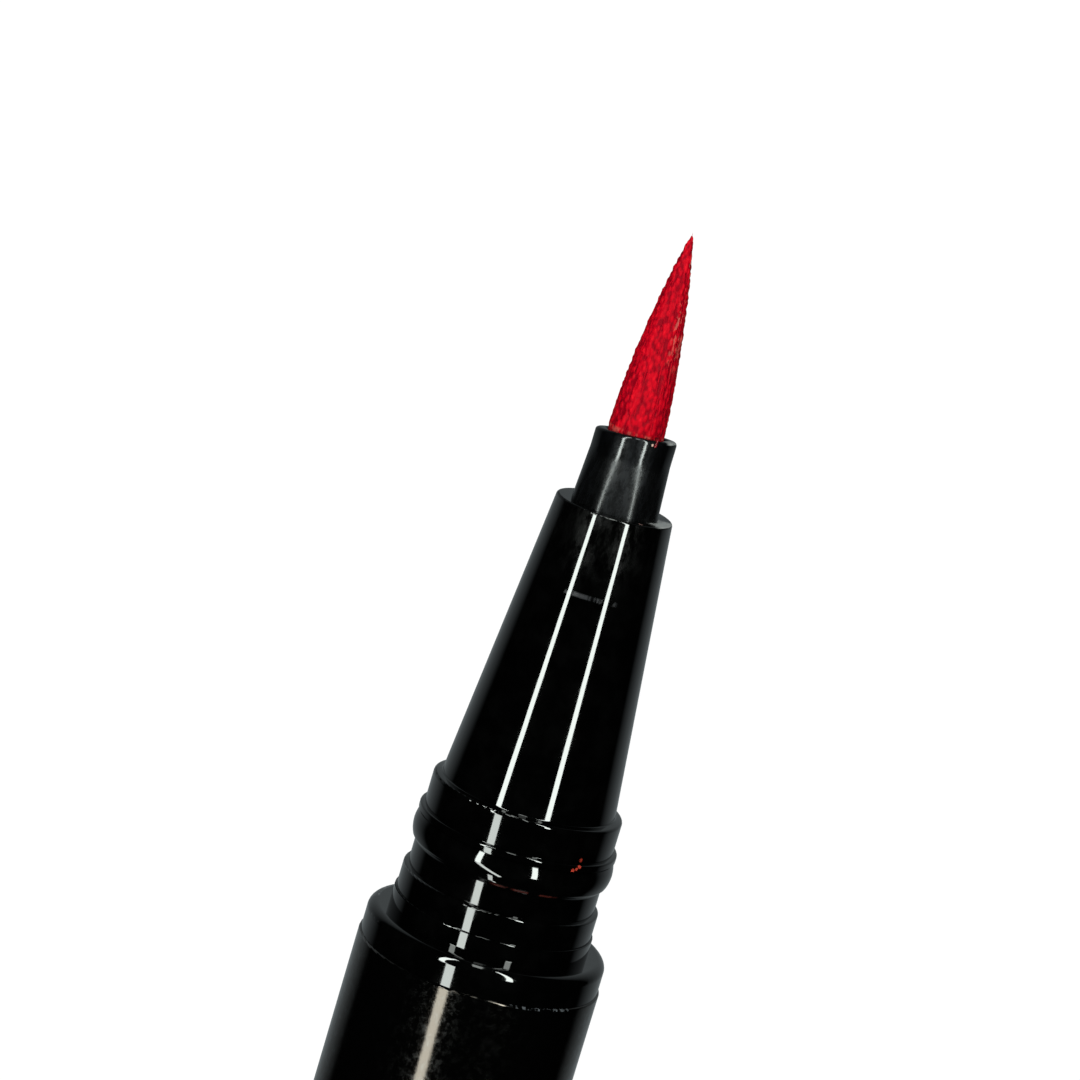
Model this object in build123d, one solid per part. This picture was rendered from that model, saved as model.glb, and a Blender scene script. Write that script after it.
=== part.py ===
"""Calligraphy brush marker lying on its clip, with its cap posted on the tail.

The pen axis is the X axis and the nib points to +X. The origin lies on that axis,
at the barrel's front edge, where the front section's shoulder seats. All sizes in mm.
"""
from build123d import *
from math import cos, radians, sin
import os

# ---------------------------------------------------------------- named clearances
PRESS_GAP = 0.02          # between pieces that are pressed or glued together
RUNNING_GAP = 0.06        # between the posted cap and the tail it slides off
SEAT_GAP = 0.05           # between faces of different bodies that rest on each other

# ---------------------------------------------------------------- barrel
BARREL_RADIUS = 6.25
BARREL_LENGTH = 92.0
BARREL_WALL = 1.2
BARREL_EDGE_ROUND = 0.12
RIB_HEIGHT = 0.58
RIB_WIDTH = 0.8
RIB_COUNT = 6

# ---------------------------------------------------------------- cap, lengths counted from its rim
CAP_WALL = 1.0
CAP_RIM_ROUND = 0.55
CAP_LINER_WALL = 0.65
CAP_LINER_FLOOR = 0.8
CAP_NIB_ROOM = 2.5        # free length past the closed pen's brush tip
SNAP_RIDGE_HEIGHT = 0.25
SNAP_RIDGE_LENGTH = 0.8
CLOSED_RIM_NEST = 0.57    # how far the closed rim sinks over the rounded shoulder
CROWN_ROOM = 1.6          # between the liner's floor and the crown's stub
CROWN_HEAD = 2.2
CROWN_STUB = 2.6
CROWN_ROUND = 1.3

# ---------------------------------------------------------------- front section, from the barrel's edge
SHOULDER_SETBACK = 0.1
SHOULDER_LENGTH = 1.12
SHOULDER_ROUND = 0.46
NECK_CLEARANCE = 0.115    # cap's mouth over the neck's widest ring
NECK_RING_LENGTH = 1.04
NECK_STEP = 0.095
GUIDE_RING_LENGTH = 1.3
NECK_DEPTH = 0.33         # neck below its widest ring
NECK_SLOPE = 0.06
NECK_LENGTH = 1.22
BEAD_LENGTH = 1.48
BEAD_LEAD = 0.23
BEAD_LEAD_RISE = 0.2
BEAD_DROP = 0.13
LIP_GROOVE_LENGTH = 0.12
LIP_GROOVE_DEPTH = 0.19
LIP_LENGTH = 0.3
LIP_DROP = 0.05
COLLAR_DEPTH = 0.27       # collar below the widest ring
COLLAR_LENGTH = 1.67
COLLAR_SLOPE = 0.1
CONE_STEP = 0.405         # collar down to the cone's wide end
CONE_LENGTH = 15.03
CONE_RIM = 0.76           # flat ring around the nozzle at the cone's narrow end
CONE_EDGE_ROUND = 0.12
RING_EDGE_ROUND = 0.1
COLLAR_EDGE_ROUND = 0.16
BEAD_LEAD_ROUND = 0.35
PLUG_LENGTH = 10.0
PLUG_WALL = 1.3

# ---------------------------------------------------------------- nozzle and brush
NOZZLE_TAPER_LENGTH = 2.65
NOZZLE_WALL = 0.5
NOZZLE_SWELL = 0.16       # how much wider the nozzle is at its base
NOZZLE_REACH = 3.8
NOZZLE_RIM_ROUND = 0.26
NOZZLE_FLATS = 8
NOZZLE_FLAT_DEPTH = 0.14   # how far the flats cut into the nozzle's base
NOZZLE_STEM = 7.5
MOUTH_FLARE = 0.06
MOUTH_FLARE_DEPTH = 0.14
TUFT_RADIUS = 1.4
TUFT_LENGTH = 10.08
TUFT_FULLNESS = 1.35      # exponents of the tuft's outline
TUFT_POINT = 0.8
TUFT_PLAY = 0.12          # bore of the nozzle around the tuft
FERRULE_WALL = 0.26
FERRULE_LENGTH = 5.2
ROOT_GAP = 0.15           # between the bending tuft's round root and the ferrule

# ---------------------------------------------------------------- ink feed and reservoir
WICK_RADIUS = 1.0
WICK_DEPTH = 8.0          # how far the wick reaches into the reservoir
FEED_TUBE_WALL = 0.55
FIN_COUNT = 9
FIN_THICKNESS = 0.5
FIN_PITCH = 1.25
FIN_GAP = 0.2
RETAINER_LENGTH = 1.5
FILM_THICKNESS = 0.15
CUSHION_LENGTH = 3.0
CUSHION_BORE = 2.2
BREATHER_RADIUS = 0.6
BREATHER_WALL = 0.22
BREATHER_COVER = 0.4      # fibre between the breather tube and the film
RESERVOIR_END_GAP = 0.3

# ---------------------------------------------------------------- seals
ORING_SECTION = 0.4       # radius of the ring's round section
ORING_STATION = 6.0       # behind the barrel's edge
SEAL_RING_LENGTH = 1.2
SEAL_RING_WALL = 0.35

# ---------------------------------------------------------------- tail plug
TAIL_STUB = 8.0
TAIL_FLANGE_LENGTH = 1.2  # plain ring between the barrel and the posted cap
TAIL_FLANGE_SETBACK = 0.35
POST_LENGTH = 14.0
POST_WALL = 1.1
POST_ROUND = 1.0
VENT_RADIUS = 0.4

# ---------------------------------------------------------------- pocket clip
CLIP_WIDTH = 4.0
CLIP_TIP_WIDTH = 3.2
CLIP_THICKNESS = 1.4      # at the root
CLIP_SLOPE = 0.67         # how much nearer the axis the outer face is at the free end
CLIP_POCKET = 0.85        # room for cloth between clip and cap
CLIP_LENGTH = 34.0
CLIP_TONGUE = 1.0
CLIP_BUMP_GAP = 0.15
CLIP_BUMP_LENGTH = 4.0
CLIP_BUMP_ROUND = 1.1
CLIP_EDGE_CHAMFER = 0.3
CLIP_TIP_CHAMFER = 1.0
CLIP_ROOT_RADIUS = 3.9    # inner end of the tongue
CLIP_TURN = 270.0         # turn about the pen axis that puts the clip underneath

# ---------------------------------------------------------------- sizes that follow
barrel_bore = BARREL_RADIUS - BARREL_WALL
plug_radius = barrel_bore - PRESS_GAP
section_bore = plug_radius - PLUG_WALL
shoulder_radius = BARREL_RADIUS - SHOULDER_SETBACK

mouth_radius = BARREL_RADIUS - CAP_WALL
ring_radius = mouth_radius - NECK_CLEARANCE
guide_radius = ring_radius - NECK_STEP
neck_radius = ring_radius - NECK_DEPTH
collar_radius = ring_radius - COLLAR_DEPTH
cone_radius = collar_radius - CONE_STEP

# stations along the front section
x_ring = SHOULDER_LENGTH + SHOULDER_ROUND
x_guide = x_ring + NECK_RING_LENGTH
x_neck = x_guide + GUIDE_RING_LENGTH + NECK_SLOPE
x_bead = x_neck + NECK_LENGTH
x_groove = x_bead + BEAD_LENGTH
x_lip = x_groove + LIP_GROOVE_LENGTH
x_collar = x_lip + LIP_LENGTH + LIP_DROP
x_cone = x_collar + COLLAR_LENGTH + COLLAR_SLOPE
x_cone_top = x_cone + CONE_LENGTH
x_mouth = x_cone_top + NOZZLE_REACH
x_tip = x_mouth + TUFT_LENGTH

nozzle_bore = TUFT_RADIUS + TUFT_PLAY
nozzle_radius = nozzle_bore + NOZZLE_WALL
nozzle_base_radius = nozzle_radius + NOZZLE_SWELL
cone_top_radius = nozzle_base_radius + CONE_RIM
nozzle_back = x_cone_top - NOZZLE_STEM
ferrule_front = x_mouth - TUFT_RADIUS - ROOT_GAP
ferrule_back = ferrule_front - FERRULE_LENGTH
wick_bore = WICK_RADIUS + PRESS_GAP
feed_tube_radius = wick_bore + FEED_TUBE_WALL

film_radius = barrel_bore - RIB_HEIGHT - PRESS_GAP
core_radius = film_radius - FILM_THICKNESS
reservoir_front = -PLUG_LENGTH - RESERVOIR_END_GAP
cushion_back = -BARREL_LENGTH + TAIL_STUB
reservoir_back = cushion_back + CUSHION_LENGTH

# stations inside the cap, counted from its rim
closed_rim = x_ring - CLOSED_RIM_NEST
ridge_station = (x_guide + GUIDE_RING_LENGTH + NECK_SLOPE + x_bead) / 2 - closed_rim
liner_start = x_collar - closed_rim
liner_end = x_tip + CAP_NIB_ROOM + CAP_LINER_FLOOR - closed_rim
liner_bore = collar_radius + PRESS_GAP * 2
liner_radius = liner_bore + CAP_LINER_WALL
shell_bore = liner_radius + PRESS_GAP
ridge_radius = mouth_radius - SNAP_RIDGE_HEIGHT
crown_front = liner_end + CROWN_ROOM
shell_end = crown_front + CROWN_STUB
cap_length = shell_end + CROWN_HEAD

# tail post, which the cap's ridge and liner slide over
tail_face = -BARREL_LENGTH - TAIL_FLANGE_LENGTH
flange_radius = BARREL_RADIUS - TAIL_FLANGE_SETBACK
post_radius = ridge_radius - RUNNING_GAP
post_tip_radius = liner_bore - RUNNING_GAP

clip_top = BARREL_RADIUS + CLIP_POCKET + CLIP_THICKNESS


def cap_x(station):
    """X of a station inside the posted cap, counted from its rim towards the crown."""
    return tail_face - SEAT_GAP - station


def turned(outline, rounds=()):
    """Solid turned about X: outline is a list of (x, radius), rounds a list of (x, radius, size)."""
    profile = make_face(Polyline(*outline, close=True))
    return revolve(rounded(profile, rounds), Axis.X)


def rounded(profile, rounds):
    """The flat profile with each named corner rounded."""
    for x, radius, size in rounds:
        corner = profile.vertices().sort_by_distance((x, radius))[0]
        profile = fillet(corner, size)
    return profile


def tube(start, end, outer, inner=0.0):
    """Plain tube or rod about X."""
    return turned([(start, inner), (end, inner), (end, outer), (start, outer)])


def tuft_radius_at(share):
    """Radius of the wet brush at a share of its length, from the mouth to the point."""
    return TUFT_RADIUS * (1 - share ** TUFT_FULLNESS) ** TUFT_POINT


# ---------------------------------------------------------------- marker body
def barrel():
    """Outer tube, with ribs inside that hold the reservoir and leave an air path."""
    wall = turned(
        [(-BARREL_LENGTH, barrel_bore), (0, barrel_bore), (0, BARREL_RADIUS), (-BARREL_LENGTH, BARREL_RADIUS)],
        [(0, BARREL_RADIUS, BARREL_EDGE_ROUND), (-BARREL_LENGTH, BARREL_RADIUS, BARREL_EDGE_ROUND)],
    )
    rib_front = -PLUG_LENGTH - PRESS_GAP
    rib_length = rib_front - cushion_back
    middle = (rib_front + cushion_back) / 2
    rib_depth = RIB_HEIGHT + BARREL_WALL / 2
    rib = Pos(middle, 0, barrel_bore - RIB_HEIGHT + rib_depth / 2) * Box(rib_length, RIB_WIDTH, rib_depth)
    for index in range(RIB_COUNT):
        wall += Rot(360 / RIB_COUNT * index, 0, 0) * rib
    return wall


def front_section():
    """One moulding: grip cone, collar, lip, snap bead, neck, rings, shoulder and plug."""
    bead_crest = (x_bead + BEAD_LEAD + x_groove) / 2
    bead_lead = (x_bead + BEAD_LEAD, neck_radius + BEAD_LEAD_RISE)
    bead_back = (x_groove, ring_radius - BEAD_DROP)
    oring_x = -ORING_STATION
    groove_floor = plug_radius - 2 * ORING_SECTION - PRESS_GAP
    groove_half = ORING_SECTION + 2 * PRESS_GAP
    behind = Polyline(
        (-PLUG_LENGTH, section_bore),
        (-PLUG_LENGTH, plug_radius),
        (oring_x - groove_half, plug_radius),
        (oring_x - groove_half, groove_floor),
        (oring_x + groove_half, groove_floor),
        (oring_x + groove_half, plug_radius),
        (0, plug_radius),
        (0, shoulder_radius),
        (x_ring, shoulder_radius),
        (x_ring, ring_radius),
        (x_guide, ring_radius),
        (x_guide, guide_radius),
        (x_neck - NECK_SLOPE, guide_radius),
        (x_neck, neck_radius),
        (x_bead, neck_radius),
        bead_lead,
    )
    crown = ThreePointArc(bead_lead, (bead_crest, ring_radius), bead_back)
    ahead = Polyline(
        bead_back,
        (x_groove, ring_radius - LIP_GROOVE_DEPTH),
        (x_lip, ring_radius - LIP_GROOVE_DEPTH),
        (x_lip, ring_radius - LIP_DROP),
        (x_lip + LIP_LENGTH, ring_radius - LIP_DROP),
        (x_collar, collar_radius),
        (x_cone - COLLAR_SLOPE, collar_radius),
        (x_cone, cone_radius),
        (x_cone_top, cone_top_radius),
        (x_cone_top, nozzle_base_radius),
        (nozzle_back, nozzle_base_radius),
        (nozzle_back, feed_tube_radius + PRESS_GAP),
        (x_neck, feed_tube_radius + PRESS_GAP),
        (x_neck, section_bore),
        (-PLUG_LENGTH, section_bore),
    )
    profile = make_face(behind + crown + ahead)
    rounds = [
        (x_ring, shoulder_radius, min(SHOULDER_ROUND, (shoulder_radius - ring_radius) * 0.97)),
        (x_cone_top, cone_top_radius, CONE_EDGE_ROUND),
        (x_cone - COLLAR_SLOPE, collar_radius, COLLAR_EDGE_ROUND),
        (x_cone, cone_radius, RING_EDGE_ROUND),
        (x_lip + LIP_LENGTH, ring_radius - LIP_DROP, RING_EDGE_ROUND),
        (x_neck - NECK_SLOPE, guide_radius, RING_EDGE_ROUND),
        (x_guide, ring_radius, NECK_STEP / 2),
        (*bead_lead, BEAD_LEAD_ROUND),
    ]
    return revolve(rounded(profile, rounds), Axis.X)


def section_seal():
    """Round-section ring in the plug's groove, against the barrel's bore."""
    centre = plug_radius - ORING_SECTION
    ring = Pos(-ORING_STATION, centre) * Circle(ORING_SECTION)
    return revolve(ring, Axis.X)


def nozzle():
    """Tip holder pressed into the cone, with a flared mouth for the bending brush."""
    stem_radius = nozzle_base_radius - PRESS_GAP
    seat = ferrule_back - PRESS_GAP
    corner_radius = nozzle_base_radius + NOZZLE_FLAT_DEPTH
    taper_end = x_cone_top + NOZZLE_TAPER_LENGTH
    outline = [
        (nozzle_back + PRESS_GAP, wick_bore),
        (nozzle_back + PRESS_GAP, stem_radius),
        (x_cone_top, stem_radius),
        (x_cone_top, corner_radius),
        (taper_end, nozzle_radius),
        (x_mouth, nozzle_radius),
        (x_mouth, nozzle_bore + MOUTH_FLARE),
        (x_mouth - MOUTH_FLARE_DEPTH, nozzle_bore),
        (seat, nozzle_bore),
        (seat, wick_bore),
    ]
    body = turned(outline, [(x_mouth, nozzle_radius, NOZZLE_RIM_ROUND)])
    return body & nozzle_flats(taper_end)


def nozzle_flats(taper_end):
    """Block whose sides cut the flats around the nozzle's base; they run out at its round front."""
    apothems = [(nozzle_back, nozzle_base_radius), (x_cone_top, nozzle_base_radius)]
    apothems += [(taper_end, nozzle_radius), (x_mouth, nozzle_radius * 1.1)]
    rings = []
    for x, apothem in apothems:
        corner = apothem / cos(radians(180 / NOZZLE_FLATS))
        ring = Plane.YZ.offset(x) * RegularPolygon(corner, NOZZLE_FLATS, rotation=180 / NOZZLE_FLATS)
        rings.append(ring)
    return loft(rings, ruled=True)


def brush_ferrule():
    """Sleeve crimped around the filaments' fused ends."""
    outer = nozzle_bore - PRESS_GAP
    return tube(ferrule_back, ferrule_front, outer, outer - FERRULE_WALL)


def brush_butt():
    """Fused ends of the filaments inside the ferrule."""
    radius = nozzle_bore - FERRULE_WALL - 2 * PRESS_GAP
    return tube(ferrule_back, ferrule_front, radius)


def feed_wick():
    """Fibre rod that carries ink from the reservoir to the filaments' ends."""
    return tube(reservoir_front - WICK_DEPTH, ferrule_back - PRESS_GAP, WICK_RADIUS)


def feed_collector():
    """Tube around the wick, with fins that hold back spare ink."""
    front = nozzle_back - PRESS_GAP
    back = -PLUG_LENGTH + RETAINER_LENGTH + PRESS_GAP
    body = tube(back, front, feed_tube_radius, wick_bore)
    fin_radius = section_bore - FIN_GAP
    for index in range(FIN_COUNT):
        start = back + FIN_PITCH * (index + 0.5)
        body += tube(start, start + FIN_THICKNESS, fin_radius, wick_bore)
    return body


def feed_retainer():
    """Ring that closes the section's bore behind the collector."""
    outer = section_bore - PRESS_GAP
    return tube(-PLUG_LENGTH, -PLUG_LENGTH + RETAINER_LENGTH, outer, wick_bore)


def breather_place():
    """Distance of the breather tube's axis from the pen axis."""
    return core_radius - BREATHER_RADIUS - BREATHER_COVER


def reservoir_core():
    """Fibre bundle that holds the ink, with room for the wick and the breather tube."""
    core = tube(reservoir_back, reservoir_front, core_radius)
    core -= tube(reservoir_front - WICK_DEPTH - PRESS_GAP, reservoir_front, wick_bore)
    length = reservoir_front - reservoir_back
    channel = Rot(0, 90, 0) * Cylinder(BREATHER_RADIUS + PRESS_GAP, length)
    return core - Pos((reservoir_front + reservoir_back) / 2, 0, breather_place()) * channel


def reservoir_film():
    """Plastic film wrapped around the fibre bundle."""
    return tube(reservoir_back, reservoir_front, film_radius, core_radius + PRESS_GAP)


def breather_tube():
    """Thin tube that lets air past the reservoir."""
    length = reservoir_front - reservoir_back
    straw = Cylinder(BREATHER_RADIUS, length) - Cylinder(BREATHER_RADIUS - BREATHER_WALL, length)
    place = Pos((reservoir_front + reservoir_back) / 2, 0, breather_place())
    return place * (Rot(0, 90, 0) * straw)


def reservoir_cushion():
    """Foam ring that presses the reservoir forward."""
    return tube(cushion_back + PRESS_GAP, reservoir_back - PRESS_GAP, film_radius, CUSHION_BORE)


def tail_plug():
    """Plug that closes the barrel; its post carries the cap."""
    root = -BARREL_LENGTH
    end = tail_face - POST_LENGTH
    step = cap_x(liner_start)
    floor = end + POST_WALL
    bore = post_tip_radius - POST_WALL
    outline = [
        (root + TAIL_STUB, bore),
        (root + TAIL_STUB, plug_radius),
        (root, plug_radius),
        (root, flange_radius),
        (tail_face, flange_radius),
        (tail_face, post_radius),
        (step + 2 * RUNNING_GAP + NECK_SLOPE, post_radius),
        (step + 2 * RUNNING_GAP, post_tip_radius),
        (end, post_tip_radius),
        (end, VENT_RADIUS),
        (floor, VENT_RADIUS),
        (floor, bore),
    ]
    return turned(outline, [(end, post_tip_radius, POST_ROUND)])


# ---------------------------------------------------------------- brush body
def brush_tuft():
    """Wet filaments drawn to a point; the root is round about the hinge, so that it can bend."""
    shares = [0.1, 0.25, 0.4, 0.55, 0.7, 0.82, 0.92, 0.98]
    side = [(x_mouth, TUFT_RADIUS)]
    for share in shares:
        side.append((x_mouth + TUFT_LENGTH * share, tuft_radius_at(share)))
    side.append((x_tip, 0))
    back = x_mouth - TUFT_RADIUS
    slant = radians(45)
    root_middle = (x_mouth - TUFT_RADIUS * cos(slant), TUFT_RADIUS * sin(slant))
    root = ThreePointArc((back, 0), root_middle, (x_mouth, TUFT_RADIUS))
    profile = make_face(root + Spline(*side) + Line((x_tip, 0), (back, 0)))
    return revolve(profile, Axis.X)


# ---------------------------------------------------------------- cap body
def clip_slot(gap):
    """Space of the clip's tongue at the cap's top, grown by a gap on each side."""
    reach = clip_top - CLIP_ROOT_RADIUS
    block = Box(CLIP_TONGUE + gap, reach + 2 * gap, CLIP_WIDTH + 2 * gap)
    centre = Pos(cap_x(shell_end - (CLIP_TONGUE + gap) / 2), CLIP_ROOT_RADIUS + reach / 2, 0)
    return Rot(CLIP_TURN, 0, 0) * (centre * block)


def cap_shell():
    """Outer tube of the cap: wide bore for the liner, narrow mouth with the snap ridge."""
    ridge_x = cap_x(ridge_station)
    half = SNAP_RIDGE_LENGTH / 2
    rim = cap_x(0)
    outline = [
        (rim, mouth_radius),
        (rim, BARREL_RADIUS),
        (cap_x(shell_end), BARREL_RADIUS),
        (cap_x(shell_end), shell_bore),
        (cap_x(liner_start), shell_bore),
        (cap_x(liner_start), mouth_radius),
        (ridge_x - half, mouth_radius),
        (ridge_x, ridge_radius),
        (ridge_x + half, mouth_radius),
    ]
    rounds = [
        (rim, mouth_radius, CAP_RIM_ROUND),
        (rim, BARREL_RADIUS, BARREL_EDGE_ROUND),
        (ridge_x, ridge_radius, SNAP_RIDGE_HEIGHT),
    ]
    return turned(outline, rounds) - clip_slot(PRESS_GAP)


def inner_cap():
    """Liner cup that keeps the brush wet: its rim seals on the section's lip and collar."""
    start = liner_start + PRESS_GAP
    floor = liner_end - CAP_LINER_FLOOR
    ring_end = start + SEAL_RING_LENGTH
    ring_seat = liner_bore + SEAL_RING_WALL + PRESS_GAP
    outline = [
        (cap_x(start), ring_seat),
        (cap_x(start), liner_radius),
        (cap_x(liner_end), liner_radius),
        (cap_x(liner_end), 0),
        (cap_x(floor), 0),
        (cap_x(floor), liner_bore),
        (cap_x(ring_end), liner_bore),
        (cap_x(ring_end), ring_seat),
    ]
    rounds = [
        (cap_x(floor), liner_bore, CROWN_ROUND),
        (cap_x(liner_end), liner_radius, CROWN_ROUND / 2),
    ]
    return turned(outline, rounds)


def cap_seal_ring():
    """Soft ring in the liner's mouth, which closes on the section's collar."""
    start = liner_start + PRESS_GAP
    end = start + SEAL_RING_LENGTH - PRESS_GAP
    return tube(cap_x(end), cap_x(start), liner_bore + SEAL_RING_WALL, liner_bore)


def cap_crown():
    """End plug of the cap, which clamps the clip's tongue."""
    outline = [
        (cap_x(crown_front), 0),
        (cap_x(crown_front), shell_bore - PRESS_GAP),
        (cap_x(shell_end), shell_bore - PRESS_GAP),
        (cap_x(shell_end), BARREL_RADIUS),
        (cap_x(cap_length), BARREL_RADIUS),
        (cap_x(cap_length), 0),
    ]
    return turned(outline, [(cap_x(cap_length), BARREL_RADIUS, CROWN_ROUND)]) - clip_slot(PRESS_GAP)


def clip_plan():
    """Tall block with the clip's outline from above, narrower at its free end."""
    start = cap_x(shell_end)
    end = cap_x(shell_end - CLIP_LENGTH)
    outline = Polyline(
        (start, -CLIP_WIDTH / 2),
        (start, CLIP_WIDTH / 2),
        (end, CLIP_TIP_WIDTH / 2),
        (end, -CLIP_TIP_WIDTH / 2),
        close=True,
    )
    return extrude(Plane.XZ * make_face(outline), clip_top * 2, both=True)


def pocket_clip():
    """Sprung clip: a tongue under the crown, a long arm and a bump that grips the cloth."""
    top = shell_end
    inner = BARREL_RADIUS + CLIP_POCKET
    bump_x = top - CLIP_LENGTH + CLIP_BUMP_LENGTH / 2
    outline = [
        (cap_x(top), CLIP_ROOT_RADIUS),
        (cap_x(top), clip_top),
        (cap_x(top - CLIP_LENGTH), clip_top - CLIP_SLOPE),
        (cap_x(top - CLIP_LENGTH), inner + CLIP_THICKNESS / 3),
        (cap_x(bump_x), BARREL_RADIUS + CLIP_BUMP_GAP),
        (cap_x(bump_x + CLIP_BUMP_LENGTH / 2), inner),
        (cap_x(top - CLIP_TONGUE), inner),
        (cap_x(top - CLIP_TONGUE), CLIP_ROOT_RADIUS),
    ]
    rounds = [
        (cap_x(bump_x), BARREL_RADIUS + CLIP_BUMP_GAP, CLIP_BUMP_ROUND),
        (cap_x(top - CLIP_TONGUE), inner, CLIP_POCKET / 2),
    ]
    profile = rounded(make_face(Polyline(*outline, close=True)), rounds)
    arm = extrude(profile, CLIP_WIDTH, both=True) & clip_plan()
    tip_corners = arm.edges().filter_by(Axis.Y).group_by(Axis.X)[-1]
    arm = chamfer(tip_corners, CLIP_TIP_CHAMFER)
    long_edges = arm.edges().filter_by(lambda edge: edge.length > CLIP_LENGTH * 0.9)
    arm = chamfer(long_edges.group_by(Axis.Y)[-1], CLIP_EDGE_CHAMFER)
    return Rot(CLIP_TURN, 0, 0) * arm


PIECES = [
    barrel, front_section, section_seal, nozzle, brush_ferrule, brush_butt, feed_wick, feed_collector,
    feed_retainer, reservoir_core, reservoir_film, breather_tube, reservoir_cushion, tail_plug,
    brush_tuft, cap_shell, inner_cap, cap_seal_ring, cap_crown, pocket_clip,
]


def main():
    os.makedirs("parts", exist_ok=True)
    for piece in PIECES:
        export_step(piece(), f"parts/{piece.__name__}.step")


main()
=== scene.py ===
"""Looks of a calligraphy brush marker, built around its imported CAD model.

The pen lies along the X axis with its brush towards +X. Everything is in metres.
"""
import math
import random

import bpy
from mathutils import Matrix, Vector, noise


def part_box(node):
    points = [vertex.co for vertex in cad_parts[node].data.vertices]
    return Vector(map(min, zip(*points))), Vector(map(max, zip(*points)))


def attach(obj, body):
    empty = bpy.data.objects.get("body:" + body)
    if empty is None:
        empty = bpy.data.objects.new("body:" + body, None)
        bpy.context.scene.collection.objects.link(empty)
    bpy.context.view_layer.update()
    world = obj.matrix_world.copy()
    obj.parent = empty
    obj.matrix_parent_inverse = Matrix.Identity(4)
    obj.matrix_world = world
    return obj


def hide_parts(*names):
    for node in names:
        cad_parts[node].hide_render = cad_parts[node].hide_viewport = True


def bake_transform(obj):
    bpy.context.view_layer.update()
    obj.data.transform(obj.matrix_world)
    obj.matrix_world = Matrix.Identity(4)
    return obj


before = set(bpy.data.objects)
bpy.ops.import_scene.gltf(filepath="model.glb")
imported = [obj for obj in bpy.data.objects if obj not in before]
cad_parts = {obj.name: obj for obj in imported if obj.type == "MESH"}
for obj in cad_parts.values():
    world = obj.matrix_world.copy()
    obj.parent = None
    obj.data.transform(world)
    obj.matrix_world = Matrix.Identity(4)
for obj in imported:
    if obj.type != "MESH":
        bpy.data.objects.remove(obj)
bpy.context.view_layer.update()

bl_info = {
    "name": "Calligraphy marker",
    "version": (1, 0, 0),
    "blender": (4, 5, 0),
    "location": "View3D > Sidebar > Marker",
    "description": "Builds the brush, tip holder, finishes and studio of a calligraphy marker",
    "category": "Object",
}

MM = 0.001
MOUTH_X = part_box("nozzle")[1].x
NOZZLE_BACK_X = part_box("nozzle")[0].x
CONE_TOP_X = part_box("front_section")[1].x
TIP_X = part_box("brush_tuft")[1].x
FERRULE_BACK_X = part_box("brush_ferrule")[0].x
WICK_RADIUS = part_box("feed_wick")[1].z
BARREL_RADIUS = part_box("barrel")[1].z
CLIP_END_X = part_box("pocket_clip")[0].x
CLIP_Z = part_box("pocket_clip")[0].z
FLOOR_TILT = math.atan((CLIP_Z + BARREL_RADIUS) / CLIP_END_X)


# ---------------------------------------------------------------- settings
class BrushSettings(bpy.types.PropertyGroup):
    """Sizes and colours of the wet brush."""

    radius: bpy.props.FloatProperty(
        name="Radius", description="Radius of the brush where it leaves the nozzle",
        default=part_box("brush_tuft")[1].z, unit="LENGTH",
    )
    lean: bpy.props.FloatProperty(
        name="Lean", description="Sideways set of the brush's point",
        default=0.21 * MM, unit="LENGTH",
    )
    strands: bpy.props.IntProperty(
        name="Strands", description="Number of filament strands laid over the core",
        default=60, min=10,
    )
    thickness: bpy.props.FloatProperty(
        name="Strand thickness", description="Width of one strand of wet filaments",
        default=0.1 * MM, unit="LENGTH",
    )
    hairs: bpy.props.IntProperty(
        name="Stray hairs", description="Single filaments that stand proud at the point",
        default=4, min=0,
    )
    ink: bpy.props.FloatVectorProperty(
        name="Ink", description="Colour of the ink-wet filaments", subtype="COLOR",
        default=(0.4, 0.0009, 0.008),
    )


class NozzleSettings(bpy.types.PropertyGroup):
    """Sizes of the tip holder that the box of its CAD piece doesn't give."""

    flats: bpy.props.IntProperty(
        name="Flats", description="Number of flats around the base", default=8, min=3,
    )
    base_radius: bpy.props.FloatProperty(
        name="Base", description="Distance of a flat from the pen axis",
        default=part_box("nozzle")[1].z, unit="LENGTH",
    )
    rim_radius: bpy.props.FloatProperty(
        name="Rim", description="Radius of the round front end",
        default=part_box("nozzle")[1].z - 0.16 * MM, unit="LENGTH",
    )
    corner: bpy.props.FloatProperty(
        name="Corner", description="Rounding between two flats at the base",
        default=0.8 * MM, unit="LENGTH",
    )
    taper: bpy.props.FloatProperty(
        name="Taper", description="Length over which the flats run out",
        default=2.65 * MM, unit="LENGTH",
    )
    rim_round: bpy.props.FloatProperty(
        name="Rim rounding", description="Rounding of the rim's outer edge",
        default=0.18 * MM, unit="LENGTH",
    )
    rim_slant: bpy.props.FloatProperty(
        name="Rim slant", description="How much further the rim stands out on one side",
        default=0.24 * MM, unit="LENGTH",
    )
    slant_turn: bpy.props.FloatProperty(
        name="Slant side", description="Where around the pen the rim stands out most, in degrees",
        default=39,
    )


class StudioSettings(bpy.types.PropertyGroup):
    """Camera and lights."""

    lens: bpy.props.FloatProperty(
        name="Lens", description="Focal length in millimetres", default=133.0,
    )
    distance: bpy.props.FloatProperty(
        name="Distance", description="From the camera to the point it aims at",
        default=0.1954, unit="LENGTH",
    )
    tilt: bpy.props.FloatProperty(
        name="Tilt", description="How far the camera stands towards the brush",
        default=math.radians(11.7), unit="ROTATION",
    )
    roll: bpy.props.FloatProperty(
        name="Roll", description="How far the pen leans in the picture",
        default=math.radians(16.55), unit="ROTATION",
    )
    strip_radiance: bpy.props.FloatProperty(
        name="Strip light", description="Radiance of the strip lights", default=24.0,
    )
    glow_width: bpy.props.FloatProperty(
        name="Glow width", description="How far the lit floor beside the pen shows in its sides",
        default=26 * MM, unit="LENGTH",
    )


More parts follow.
